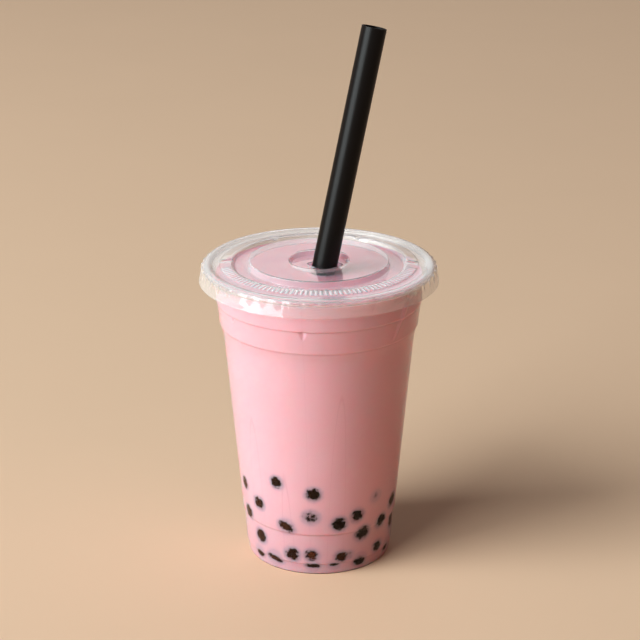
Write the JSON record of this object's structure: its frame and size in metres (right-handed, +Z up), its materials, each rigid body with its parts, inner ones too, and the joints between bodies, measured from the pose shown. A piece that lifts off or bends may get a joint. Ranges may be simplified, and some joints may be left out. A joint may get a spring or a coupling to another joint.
{
  "type": "bubble tea",
  "caption": "Pink milk tea with dark tapioca pearls in a tapered clear plastic cup, with a flat clear press-on lid and a wide straight black straw through its middle.",
  "frame": {"origin": "centre of the cup's base, on the surface that the cup stands on", "axes": "+Z up along the cup's axis; the pictured front looks along -Y, and the straw leans towards +X and a little towards +Y"},
  "size_m": [0.1018, 0.1018, 0.232],
  "materials": {
    "cup": "clear and glossy",
    "lid": "clear with a slight milky haze",
    "straw": "satin black",
    "milk_tea": "opaque pink liquid"
  },
  "bodies": {
    "root": {"cup": "cup", "lid": "lid", "straw": "straw", "milk_tea": "milk_tea"}
  },
  "joints": []
}
